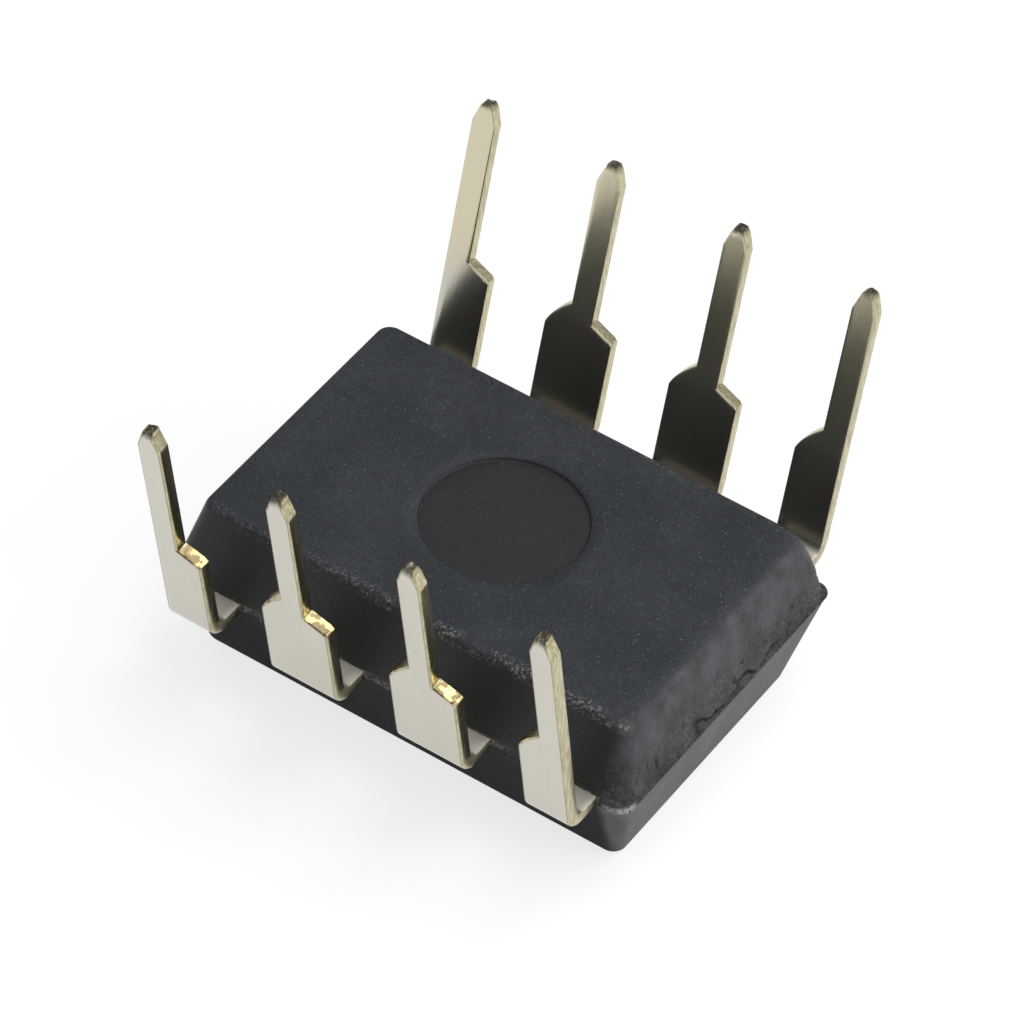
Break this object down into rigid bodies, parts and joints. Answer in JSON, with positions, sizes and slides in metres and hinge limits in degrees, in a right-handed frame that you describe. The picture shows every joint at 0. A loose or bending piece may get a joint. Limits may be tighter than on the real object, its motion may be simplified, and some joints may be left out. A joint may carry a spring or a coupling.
{
  "type": "dual in-line integrated circuit",
  "caption": "Dual in-line integrated circuit: a black moulded body with two rows of bent metal leads, lying on its marking face.",
  "frame": {"origin": "middle of the marking face, which the part lies on", "axes": "+X along the rows of leads, away from the index notch; +Y across the rows; +Z from the marking face up towards the lead tips"},
  "size_m": [0.0092, 0.01, 0.0071],
  "materials": {
    "moulding_compound": "matte black-grey epoxy moulding compound, finely spark-eroded",
    "plated_lead_frame": "tin-plated copper alloy sheet, satin faces, darker sheared edges with warm highlights",
    "die_attach_adhesive": "silver-filled epoxy adhesive",
    "silicon": "polished silicon with a patterned face",
    "bond_wire_gold": "drawn gold wire"
  },
  "bodies": {
    "root": {"package_body": "moulding_compound", "lead_1": "plated_lead_frame", "lead_2": "plated_lead_frame", "lead_3": "plated_lead_frame", "lead_4_and_die_paddle": "plated_lead_frame", "lead_5": "plated_lead_frame", "lead_6": "plated_lead_frame", "lead_7": "plated_lead_frame", "lead_8": "plated_lead_frame", "die_attach": "die_attach_adhesive", "silicon_die": "silicon", "bond_wire_1": "bond_wire_gold", "bond_wire_2": "bond_wire_gold", "bond_wire_3": "bond_wire_gold", "bond_wire_4": "bond_wire_gold", "bond_wire_5": "bond_wire_gold", "bond_wire_6": "bond_wire_gold", "bond_wire_7": "bond_wire_gold", "bond_wire_8": "bond_wire_gold"}
  },
  "joints": []
}
